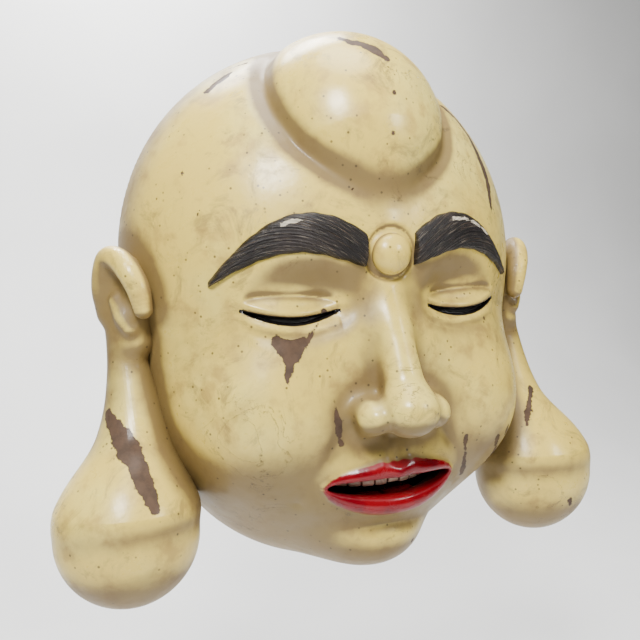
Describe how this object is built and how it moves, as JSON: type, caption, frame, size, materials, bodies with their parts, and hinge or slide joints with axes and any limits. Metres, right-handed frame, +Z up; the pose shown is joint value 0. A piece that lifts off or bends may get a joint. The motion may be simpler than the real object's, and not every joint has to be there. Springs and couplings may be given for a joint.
{
  "type": "wall mask",
  "caption": "Large carved and painted wooden wall mask of a calm bald face with long ear lobes, with a crossbar and ring hangers inside the hollow back.",
  "frame": {"origin": "centre of the crossbar's rear face, on the wall plane", "axes": "+Z up, face looking along -Y, wall behind the mask on the +Y side, +X to the viewer's right"},
  "size_m": [0.529, 0.1929, 0.48],
  "materials": {
    "cream_paint": "aged gloss paint over brown primer, flaked and grimy",
    "black_paint": "glossy brushed lacquer with white wear",
    "tooth_paint": "glossy cream paint",
    "tongue_paint": "glossy red lacquer",
    "bare_wood": "gouged, stained brown",
    "bar_wood": "planed",
    "hanger_brass": "dull plated",
    "screw_brass": "dull"
  },
  "bodies": {
    "mask": {"face_block": "cream_paint", "right_cheek_block": "cream_paint", "left_cheek_block": "cream_paint", "right_ear": "cream_paint", "left_ear": "cream_paint", "right_brow": "black_paint", "left_brow": "black_paint", "forehead_boss": "cream_paint", "upper_teeth": "tooth_paint", "tongue": "tongue_paint", "seam_pegs": "bar_wood", "ear_pegs": "bar_wood", "crossbar": "bar_wood", "crossbar_screws": "screw_brass", "right_hanger_plate": "hanger_brass", "left_hanger_plate": "hanger_brass", "hanger_screws": "screw_brass"},
    "right_ring": {"right_hanger_ring": "hanger_brass"},
    "left_ring": {"left_hanger_ring": "hanger_brass"}
  },
  "joints": [
    {"name": "right_ring_swing", "type": "hinge", "parent": "mask", "child": "right_ring", "pos_m": [-0.1, -0.0045, 0.014], "axis": [1, 0, 0], "range_deg": [0, 175]},
    {"name": "left_ring_swing", "type": "hinge", "parent": "mask", "child": "left_ring", "pos_m": [0.1, -0.0045, 0.014], "axis": [1, 0, 0], "range_deg": [0, 175]}
  ]
}
